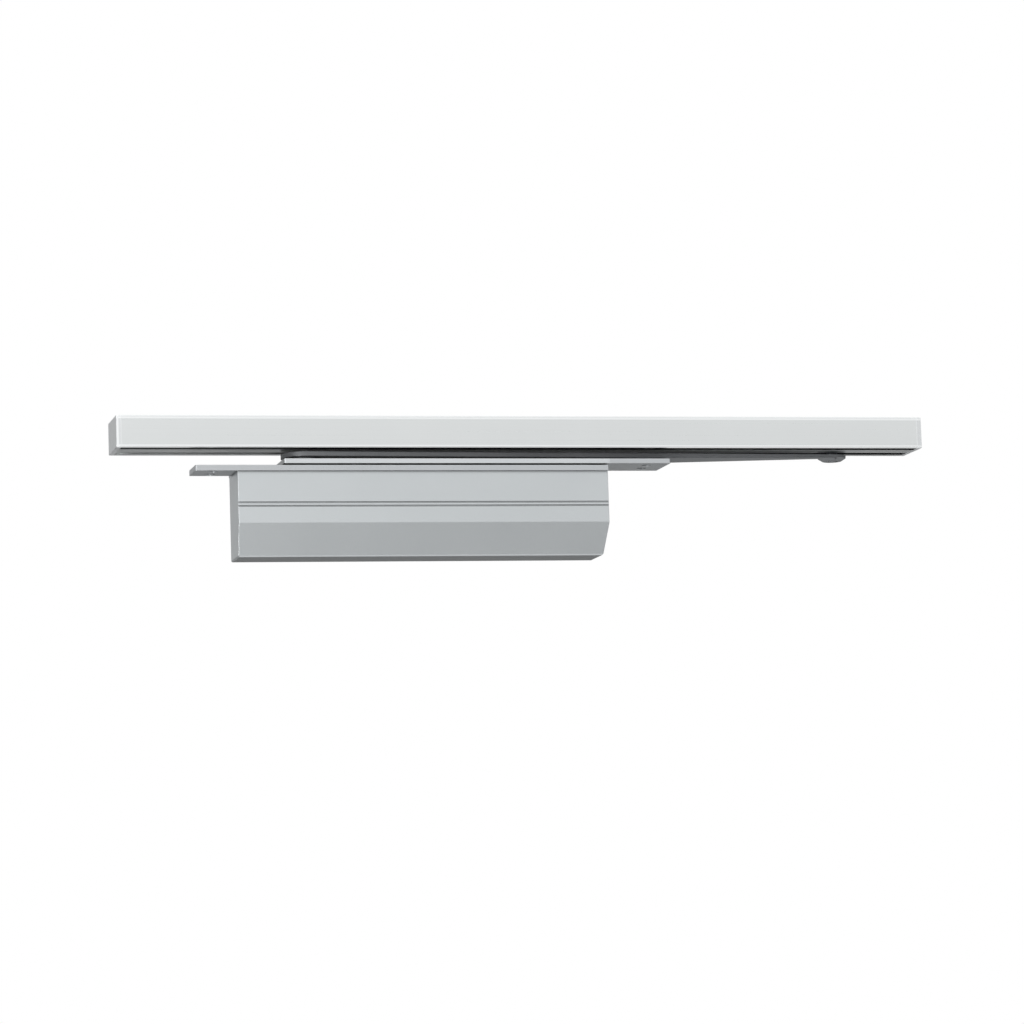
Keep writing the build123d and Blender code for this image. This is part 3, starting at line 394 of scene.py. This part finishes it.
def combine(piece, tool, operation="DIFFERENCE"):
    # Cuts the tool's shape out of the piece, or joins it to the piece.
    only(piece)
    change = piece.modifiers.new("combine", "BOOLEAN")
    change.operation = operation
    change.solver = "EXACT"
    change.object = tool
    bpy.ops.object.modifier_apply(modifier=change.name)
    bpy.data.objects.remove(tool)


def hexagon_socket(piece, middle, top, radius, depth):
    # Broaches a hexagon with a drilled foot and an eased mouth into the piece's top.
    broach = turned(
        "broach", middle,
        [
            (socket_point, top - depth - radius / 2),
            (radius, top - depth),
            (radius, top - radius / 6),
            (radius * socket_mouth, top + radius / 6),
        ],
        socket_sides,
    )
    combine(piece, broach)
    only(piece)
    bpy.ops.object.shade_smooth_by_angle(angle=smooth_angle)


def countersunk_screw(name, middle, top, head, shank, length, pitch, socket, socket_depth):
    # A screw from its tip up: cone, rolled thread, plain neck, countersunk head. The tip's
    # shares are of the core's radius, the thread's of the pitch.
    foot = top - length
    core = shank - thread_depth * pitch
    tip = core * tip_height
    steps = [(core * tip_radius, foot), (core, foot + tip)]
    turns = int((length - (head - shank) - tip - pitch) / pitch)
    for number in range(turns):
        start = foot + tip + number * pitch
        steps += [
            (core, start + thread_foot * pitch),
            (shank, start + crest_start * pitch),
            (shank, start + crest_end * pitch),
            (core, start + thread_end * pitch),
        ]
    neck = top - screw_rim - (head - shank)
    steps += [(shank, neck - screw_neck), (shank, neck)]
    steps += [(head, top - screw_rim), (head, top - screw_rim_ease)]
    steps += [(head - screw_rim_ease, top)]
    screw = turned(name, middle, steps)
    hexagon_socket(screw, middle, top, socket, socket_depth)
    return screw


plated_screw = ground_metal(
    "plated_screw",
    dark=(0.56, 0.57, 0.58), light=(0.68, 0.69, 0.70), edge_tone=(0.80, 0.81, 0.82),
    gloss=(0.20, 0.32), grain=(2400, 2400, 2400), depth=0.00001,
)
for number, middle in enumerate(screw_places, 1):
    screw = countersunk_screw(
        f"plate_screw_{number}", middle, screw_top, head=0.0039, shank=0.002, length=0.014,
        pitch=0.0007, socket=0.00125, socket_depth=0.0016,
    )
    coat(screw, plated_screw)
    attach(screw, "closer_body")
    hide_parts("plate_screws")

# Regulating valves. Two brass needles with a hexagon socket and a groove for the sealing
# ring, turned from bar. They stand under the two access holes of the lower plate.
valve_top = -0.004
valve_top_radius = 0.0027
valve_top_ease = 0.0003
valve_radius = 0.003
valve_groove_radius = 0.002
valve_groove_low, valve_groove_high = -0.009, -0.008
valve_foot = -0.011
valve_foot_edge = -0.0108
valve_foot_radius = 0.0028
needle_tip = -0.0132
needle_tip_radius = 0.0004
needle_radius = 0.0012
valve_socket_radius = 0.00125
valve_socket_depth = 0.002
brass = ground_metal(
    "turned_brass",
    dark=(0.68, 0.50, 0.21), light=(0.80, 0.63, 0.31), edge_tone=(0.90, 0.75, 0.45),
    gloss=(0.16, 0.28), grain=(900, 900, 4200), depth=0.000008,
)
for node, middle in (
    ("closing_speed_valve", (0.022, 0.003)), ("latching_speed_valve", (0.022, 0.016)),
):
    valve = turned(
        node + "_needle", middle,
        [
            (needle_tip_radius, needle_tip),
            (needle_radius, valve_foot),
            (valve_foot_radius, valve_foot),
            (valve_radius, valve_foot_edge),
            (valve_radius, valve_groove_low),
            (valve_groove_radius, valve_groove_low),
            (valve_groove_radius, valve_groove_high),
            (valve_radius, valve_groove_high),
            (valve_radius, valve_top - valve_top_ease),
            (valve_top_radius, valve_top),
        ],
    )
    hexagon_socket(valve, middle, valve_top, valve_socket_radius, valve_socket_depth)
    coat(valve, brass)
    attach(valve, "closing_valve" if node == "closing_speed_valve" else "latching_valve")
    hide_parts(node)

# Arm. Blanked from thick steel strip, pressed at its boss, ground flat and phosphated a
# dark grey, with grinding marks along it and near-black edges.
arm_dark = (0.135, 0.14, 0.145)
arm_light = (0.175, 0.18, 0.187)
arm_edge = (0.03, 0.03, 0.033)
arm_edge_strength = 0.9
arm_edge_reach = 0.0005
arm_gloss = (0.36, 0.50)
arm_grain = (14, 1800, 1800)
arm_grey, tree, shader, place = new_finish("phosphated_steel", metallic=0.35)
marks = drawn_marks(tree, place, arm_grain)
crystals = noise(tree, place, scale=2600.0, detail=3.0)
clouds = noise(tree, place, scale=60.0, detail=4.0)
fine = overlaid(tree, marks, crystals, share=0.5)
grey = two_tones(tree, overlaid(tree, fine, clouds, share=0.4), arm_dark, arm_light)
grey, eased = edge_wear_and_painted_light(tree, grey, arm_edge, arm_edge_strength, arm_edge_reach)
tree.links.new(grey, shader.inputs["Base Color"])
tree.links.new(between(tree, fine, *arm_gloss), shader.inputs["Roughness"])
relief(tree, shader, fine, depth=0.000012, normal=eased)
coat(cad["arm"], arm_grey)

# Arm screw. A larger countersunk screw of the same plated steel, made in the same way. It
# pulls the arm down on the square end of the spindle.
arm_screw_place = (0.05, 0.0095)
arm_screw_top = 0.00765
arm_screw = countersunk_screw(
    "arm_screw_turned", arm_screw_place, arm_screw_top, head=0.0045, shank=0.0021,
    length=0.012, pitch=0.0007, socket=0.0015, socket_depth=0.0016,
)
coat(arm_screw, plated_screw)
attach(arm_screw, "swing_arm")
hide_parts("arm_screw")

# Slide pin. A hardened pin, blackened, with a groove for its ring and a chamfered top,
# riveted in the arm's boss: its foot is spread a little and dished in the middle.
pin_low, pin_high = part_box("slide_pin")
ring_low, ring_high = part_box("pin_retaining_ring")
pin_middle = ((pin_low.x + pin_high.x) / 2, (pin_low.y + pin_high.y) / 2)
pin_radius = 0.003
pin_end_radius = 0.0026
pin_groove_radius = 0.0024
pin_ring_gap = 0.00001
pin_top_chamfer = 0.0004
pin_foot_chamfer = 0.0003
dish_radius = 0.0003
dish_rim_radius = 0.0012
dish_depth = 0.0004
slide_pin = turned(
    "slide_pin_turned", pin_middle,
    [
        (dish_radius, pin_low.z + dish_depth),
        (dish_rim_radius, pin_low.z),
        (pin_end_radius, pin_low.z),
        (pin_radius, pin_low.z + pin_foot_chamfer),
        (pin_radius, ring_low.z - pin_ring_gap),
        (pin_groove_radius, ring_low.z - pin_ring_gap),
        (pin_groove_radius, ring_high.z + pin_ring_gap),
        (pin_radius, ring_high.z + pin_ring_gap),
        (pin_radius, pin_high.z - pin_top_chamfer),
        (pin_end_radius, pin_high.z),
    ],
)
coat(slide_pin, spring_steel)
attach(slide_pin, "swing_arm")
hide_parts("slide_pin")
coat(cad["pin_retaining_ring"], spring_steel)

# Slide block. Moulded in black acetal with rounded corners and grease grooves, slightly
# waxy and with fine flow marks.
acetal_dark = (0.022, 0.022, 0.025)
acetal_light = (0.045, 0.045, 0.05)
acetal_gloss = (0.30, 0.42)
acetal, tree, shader, place = new_finish("black_acetal", metallic=0.0)
flow = noise(tree, place, scale=220.0, detail=4.0)
skin = noise(tree, place, scale=2800.0, detail=2.0)
tree.links.new(two_tones(tree, flow, acetal_dark, acetal_light), shader.inputs["Base Color"])
tree.links.new(between(tree, flow, *acetal_gloss), shader.inputs["Roughness"])
relief(tree, shader, skin, depth=0.00001)
coat(cad["slide_block"], acetal)

# Slide channel. An aluminium extrusion, sawn to length and satin anodised: a rear chamber
# with a slot for the slide pin, a closed front chamber, a shallow groove underneath, and
# two holes in the roof. The rear chamber with its slot and the groove are painted near-black
# as painted shade, less so at the left end.
channel_wall = 0.002
channel_slot = 0.007
channel_chamber = 0.014
channel_edge = 0.0007
chamber_edge = 0.0004
channel_hole_radius = 0.00225
channel_hole_inset = 0.0155
channel_hole_ease = 0.0002
strip_inset = 0.001
strip_width = 0.0065
strip_depth = 0.0012
overlap = 0.001
cut_ease = 0.00005
painted_highlight = (0.97, 0.98, 0.98)
face_band = 0.0002
line_half = 0.0005
upper_line = 0.0013
lower_line = 0.001
painted_shade_tone = (0.03, 0.03, 0.032)
shade_margin = 0.00002
shade_bottom = 0.00004
shade_top = 0.0005
shade_starts = 0.030
shade_full = 0.055
least_in_chamber = 0.0
least_in_groove = 0.8


def block(name, low, high):
    # A box between two corners.
    bpy.ops.object.select_all(action="DESELECT")
    bpy.ops.mesh.primitive_cube_add(size=1, location=(Vector(low) + Vector(high)) / 2)
    piece = bpy.context.object
    piece.name = name
    piece.scale = Vector(high) - Vector(low)
    bpy.ops.object.transform_apply(location=True, rotation=True, scale=True)
    return piece


def round_edges(piece, wanted, radius, segments):
    # Rounds the edges whose two ends satisfy the test.
    only(piece)
    bpy.context.tool_settings.mesh_select_mode = (False, True, False)
    mesh = piece.data
    for item in (*mesh.vertices, *mesh.polygons):
        item.select = False
    for edge in mesh.edges:
        start, end = (mesh.vertices[number].co for number in edge.vertices)
        edge.select = bool(wanted(start, end))
    bpy.ops.object.mode_set(mode="EDIT")
    bpy.ops.mesh.bevel(offset=radius, segments=segments, affect="EDGES")
    bpy.ops.object.mode_set(mode="OBJECT")


def lengthwise(start, end):
    # True for an edge along the channel.
    return abs(start.x - end.x) > overlap


def ease(piece, radius):
    # Eases what is left of the sharp edges, and shades flat faces flat and round ones
    # round.
    only(piece)
    edges = piece.modifiers.new("ease", "BEVEL")
    edges.width = radius
    edges.segments = 2
    edges.angle_limit = math.radians(40)
    bpy.ops.object.modifier_apply(modifier=edges.name)
    bpy.ops.object.shade_smooth_by_angle(angle=math.radians(50))
    normals = piece.modifiers.new("normals", "WEIGHTED_NORMAL")
    normals.keep_sharp = True
    bpy.ops.object.modifier_apply(modifier=normals.name)


def own_place(tree):
    # The piece's own place along X, Y and Z.
    sides = tree.nodes.new("ShaderNodeSeparateXYZ")
    own = tree.nodes.new("ShaderNodeTexCoord").outputs["Object"]
    tree.links.new(own, sides.inputs["Vector"])
    return sides.outputs


def within(tree, value, middle, half):
    # One where the value lies inside a band, and nothing elsewhere.
    band = tree.nodes.new("ShaderNodeMath")
    band.operation = "COMPARE"
    band.inputs[1].default_value = middle
    band.inputs[2].default_value = half
    tree.links.new(value, band.inputs[0])
    return band.outputs["Value"]


def joined_masks(tree, operation, first, second):
    # Two masks made one, by a sum of this kind.
    result = tree.nodes.new("ShaderNodeMath")
    result.operation = operation
    tree.links.new(first, result.inputs[0])
    tree.links.new(second, result.inputs[1])
    return result.outputs["Value"]


def painted_highlight_lines(tree, colour, front, lines):
    # Painted highlight lines on the front face, each a little inside an edge.
    sides = own_place(tree)
    on_face = within(tree, sides["Y"], front, face_band)
    for axis, middle, half in lines:
        band = within(tree, sides[axis], middle, half)
        on_line = joined_masks(tree, "MULTIPLY", on_face, band)
        colour = tinted(tree, colour, on_line, painted_highlight)
    return colour


low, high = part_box("slide_channel")
arris_lines = [
    ("Z", high.z - upper_line, line_half), ("Z", low.z + lower_line, line_half),
]
slot_middle = pin_middle[1]
slide_channel = block("channel_extrusion", low, high)
round_edges(slide_channel, lengthwise, channel_edge, segments=4)
rear_front = slot_middle - channel_chamber / 2
rear_back = slot_middle + channel_chamber / 2
chambers = [(rear_front, rear_back), (low.y + channel_wall, rear_front - channel_wall)]
for front, back in chambers:
    chamber = block(
        "chamber_core",
        (low.x - overlap, front, low.z + channel_wall),
        (high.x + overlap, back, high.z - channel_wall),
    )
    round_edges(chamber, lengthwise, chamber_edge, segments=3)
    combine(slide_channel, chamber)
slot_core = block(
    "slot_core",
    (low.x - overlap, slot_middle - channel_slot / 2, low.z - overlap),
    (high.x + overlap, slot_middle + channel_slot / 2, low.z + channel_wall + overlap),
)
combine(slide_channel, slot_core)
for hole_x in (low.x + channel_hole_inset, high.x - channel_hole_inset):
    drill = turned(
        "roof_drill", (hole_x, slot_middle),
        [
            (channel_hole_radius, high.z - 2 * channel_wall),
            (channel_hole_radius, high.z - channel_hole_ease),
            (channel_hole_radius + 2 * channel_hole_ease, high.z + channel_hole_ease),
        ],
    )
    combine(slide_channel, drill)
strip_front = low.y + strip_inset
strip_back = strip_front + strip_width
strip_groove = block(
    "strip_groove",
    (low.x - overlap, strip_front, low.z - overlap),
    (high.x + overlap, strip_back, low.z + strip_depth),
)
combine(slide_channel, strip_groove)
ease(slide_channel, cut_ease)

# The channel's edges take a near-white painted highlight, and its corners a faint painted
# shade.
anodised = ground_metal(
    "satin_anodised",
    dark=(0.785, 0.80, 0.797), light=(0.81, 0.825, 0.822), edge_tone=(0.97, 0.98, 0.98),
    gloss=(0.27, 0.30), grain=(4, 2400, 2400), depth=0.0000008,
    strength=0.95, corners=0.0002, edge=0.001,
)
tree = anodised.node_tree
channel_colour = tree.nodes["Principled BSDF"].inputs["Base Color"]
sides = own_place(tree)
# Painted shade: the rear chamber with its slot, and the underside groove, turn near-black,
# less so at the left end.
chamber_shade, groove_shade, shade_height = (
    within(tree, sides[axis], (near + far) / 2, (far - near) / 2 + shade_margin)
    for axis, near, far in (
        ("Y", rear_front, rear_back), ("Y", strip_front, strip_back),
        ("Z", low.z + shade_bottom, high.z - shade_top),
    )
)
fading = mapped(tree, sides["X"], shade_starts, shade_full, least_in_chamber)
chamber_shade = joined_masks(tree, "MULTIPLY", fading, chamber_shade)
fading = mapped(tree, sides["X"], shade_starts, shade_full, least_in_groove)
groove_shade = joined_masks(tree, "MULTIPLY", fading, groove_shade)
painted_shade = joined_masks(tree, "MAXIMUM", chamber_shade, groove_shade)
painted_shade = joined_masks(tree, "MULTIPLY", painted_shade, shade_height)
# Painted highlight lines just inside the front face's edges.
lined = painted_highlight_lines(tree, channel_colour.links[0].from_socket, low.y, arris_lines)
tree.links.new(tinted(tree, lined, painted_shade, painted_shade_tone), channel_colour)
coat(slide_channel, anodised)
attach(slide_channel, "channel")
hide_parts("slide_channel")

# Channel end caps. Moulded with the channel's outline and two tenons that are pressed
# into its chambers, then lacquered in the channel's silver, with a painted highlight at
# their edges and in lines on the front face, as on the channel.
cap_plate = 0.0025
cap_face_edge = 0.0003
tenon_gap = 0.0001
lacquer_dark = (0.75, 0.762, 0.768)
lacquer_light = (0.80, 0.812, 0.818)
lacquer_highlight = (0.95, 0.96, 0.96)
lacquer_highlight_strength = 0.9
lacquer_highlight_reach = 0.0008
end_line = 0.0008
end_line_half = 0.0004
lacquer_gloss = (0.28, 0.36)
lacquer, tree, shader, place = new_finish("silver_lacquer", metallic=0.9)
flake = noise(tree, place, scale=3400.0, detail=2.0)
cloud = noise(tree, place, scale=90.0, detail=3.0)
skin = overlaid(tree, flake, cloud, share=0.4)
silver = two_tones(tree, skin, lacquer_dark, lacquer_light)
# Painted highlight: near-white at the edges and in lines on the front face.
silver, eased = edge_wear_and_painted_light(
    tree, silver, lacquer_highlight, lacquer_highlight_strength, lacquer_highlight_reach
)
low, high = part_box("channel_left_cap")
silver = painted_highlight_lines(
    tree, silver, low.y, [*arris_lines, ("X", low.x + end_line, end_line_half)]
)
tree.links.new(silver, shader.inputs["Base Color"])
tree.links.new(between(tree, skin, *lacquer_gloss), shader.inputs["Roughness"])
relief(tree, shader, skin, depth=0.00001)
for node, side in (("channel_left_cap", -1), ("channel_right_cap", 1)):
    low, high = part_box(node)
    face_x = low.x if side < 0 else high.x
    tip_x = high.x if side < 0 else low.x
    joint_x = face_x - side * cap_plate
    cap = block(
        node + "_moulding",
        (min(face_x, joint_x), low.y, low.z),
        (max(face_x, joint_x), high.y, high.z),
    )
    round_edges(cap, lengthwise, channel_edge, segments=4)
    round_edges(
        cap, lambda a, b: max(abs(a.x - face_x), abs(b.x - face_x)) < merge_distance,
        cap_face_edge, segments=3,
    )
    for front, back in chambers:
        root_x = joint_x + side * overlap
        tenon = block(
            "tenon",
            (min(root_x, tip_x), front + tenon_gap, low.z + channel_wall + tenon_gap),
            (max(root_x, tip_x), back - tenon_gap, high.z - channel_wall - tenon_gap),
        )
        round_edges(tenon, lengthwise, chamber_edge, segments=3)
        combine(cap, tenon, "UNION")
    ease(cap, cut_ease)
    coat(cap, lacquer)
    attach(cap, "channel")
    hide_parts(node)

# Studio. A pale floor lies far below. The walls are pale at the top, dark below the
# closer's height and darkest behind it, the camera sees plain white, and two soft boxes
# hang in front, one high and one low on the left.
floor_size = 12.0
floor_height = -3.4
wall_red, wall_green = 0.985, 0.995
front_tones = [
    (0.0, 0.9), (1.0, 1.15), (0.25, 0.34), (0.44, 0.29), (0.49, 0.66), (0.53, 0.89),
    (0.62, 0.93),
]
back_tones = [
    (0.0, 0.9), (1.0, 1.15), (0.18, 0.42), (0.33, 0.34), (0.42, 0.10), (0.49, 0.16),
    (0.54, 0.43), (0.72, 0.65),
]
soft_boxes = [
    ("high_box", (-1.1, -1.9, 2.1), (0.15, 0, 0), 1.6, 14.0),
    ("low_box", (-0.25, -0.42, -0.14), (0.02, 0, -0.03), 0.2, 1.3),
]
bpy.ops.object.select_all(action="DESELECT")
bpy.ops.mesh.primitive_plane_add(size=floor_size, location=(0, 0, floor_height))
floor = bpy.context.object
floor.name = "studio_floor"
bpy.ops.object.transform_apply(location=True, rotation=True, scale=True)
floor_paint = bpy.data.materials.new("pale_floor")
floor_paint.use_nodes = True
floor_shader = floor_paint.node_tree.nodes["Principled BSDF"]
floor_shader.inputs["Base Color"].default_value = (0.88, 0.88, 0.88, 1)
floor_shader.inputs["Roughness"].default_value = 0.7
coat(floor, floor_paint)

for name, place, aim, size, power in soft_boxes:
    bpy.ops.object.light_add(type="AREA", location=place)
    lamp = bpy.context.object
    lamp.name = name
    lamp.data.energy = power
    lamp.data.size = size
    lamp.visible_camera = False
    lamp.rotation_euler = (Vector(aim) - lamp.location).to_track_quat("-Z", "Y").to_euler()

studio = bpy.data.worlds.new("studio")
studio.use_nodes = True
bpy.context.scene.world = studio
bpy.context.scene.view_settings.view_transform = "Standard"


def wall_tones(tree, height, stops):
    # Brightness of a wall from the floor, 0, to the ceiling, 1.
    ramp = tree.nodes.new("ShaderNodeValToRGB")
    for number, (place, tone) in enumerate(stops):
        if number < 2:
            stop = ramp.color_ramp.elements[number]
            stop.position = place
        else:
            stop = ramp.color_ramp.elements.new(place)
        stop.color = (tone * wall_red, tone * wall_green, tone, 1)
    tree.links.new(height, ramp.inputs["Fac"])
    return ramp.outputs["Color"]


tree = studio.node_tree
gaze = tree.nodes.new("ShaderNodeSeparateXYZ")
around = tree.nodes.new("ShaderNodeTexCoord").outputs["Generated"]
tree.links.new(around, gaze.inputs["Vector"])
height = mapped(tree, gaze.outputs["Z"], start=-1.0, end=1.0)
depth = mapped(tree, gaze.outputs["Y"], start=-0.5, end=0.5)
depth.node.interpolation_type = "SMOOTHSTEP"
walls = tree.nodes.new("ShaderNodeMix")
walls.data_type = "RGBA"
tree.links.new(depth, walls.inputs["Factor"])
tree.links.new(wall_tones(tree, height, front_tones), walls.inputs["A"])
tree.links.new(wall_tones(tree, height, back_tones), walls.inputs["B"])
walls_light = tree.nodes["Background"]
tree.links.new(walls.outputs["Result"], walls_light.inputs["Color"])
white = tree.nodes.new("ShaderNodeBackground")
white.inputs["Color"].default_value = (1, 1, 1, 1)
seen = tree.nodes.new("ShaderNodeLightPath")
either = tree.nodes.new("ShaderNodeMixShader")
tree.links.new(seen.outputs["Is Camera Ray"], either.inputs["Fac"])
tree.links.new(walls_light.outputs["Background"], either.inputs[1])
tree.links.new(white.outputs["Background"], either.inputs[2])
tree.links.new(either.outputs["Shader"], tree.nodes["World Output"].inputs["Surface"])

# Camera. It stands low in front of the closer, well to the left and two metres back, and
# looks slightly up through a long lens, so that the undersides show a little.
camera_place = Vector((-0.32568, -2.03167, -0.28743))
camera_turn = math.radians(13.4446)
camera_rise = math.radians(7.1707)
camera_roll = math.radians(-1.8703)
ahead = Vector((
    math.sin(camera_turn) * math.cos(camera_rise),
    math.cos(camera_turn) * math.cos(camera_rise),
    math.sin(camera_rise),
))
level_right = Vector((math.cos(camera_turn), -math.sin(camera_turn), 0))
level_up = level_right.cross(ahead)
right = math.cos(camera_roll) * level_right + math.sin(camera_roll) * level_up
up = math.cos(camera_roll) * level_up - math.sin(camera_roll) * level_right
bpy.ops.object.select_all(action="DESELECT")
bpy.ops.object.camera_add(location=camera_place)
camera = bpy.context.object
camera.name = "camera"
camera.data.lens = 139.354
camera.data.sensor_width = 36.0
camera.data.clip_end = 60.0
turn = Matrix((right, up, -ahead)).transposed()
camera.matrix_world = Matrix.Translation(camera_place) @ turn.to_4x4()
bpy.context.scene.camera = camera
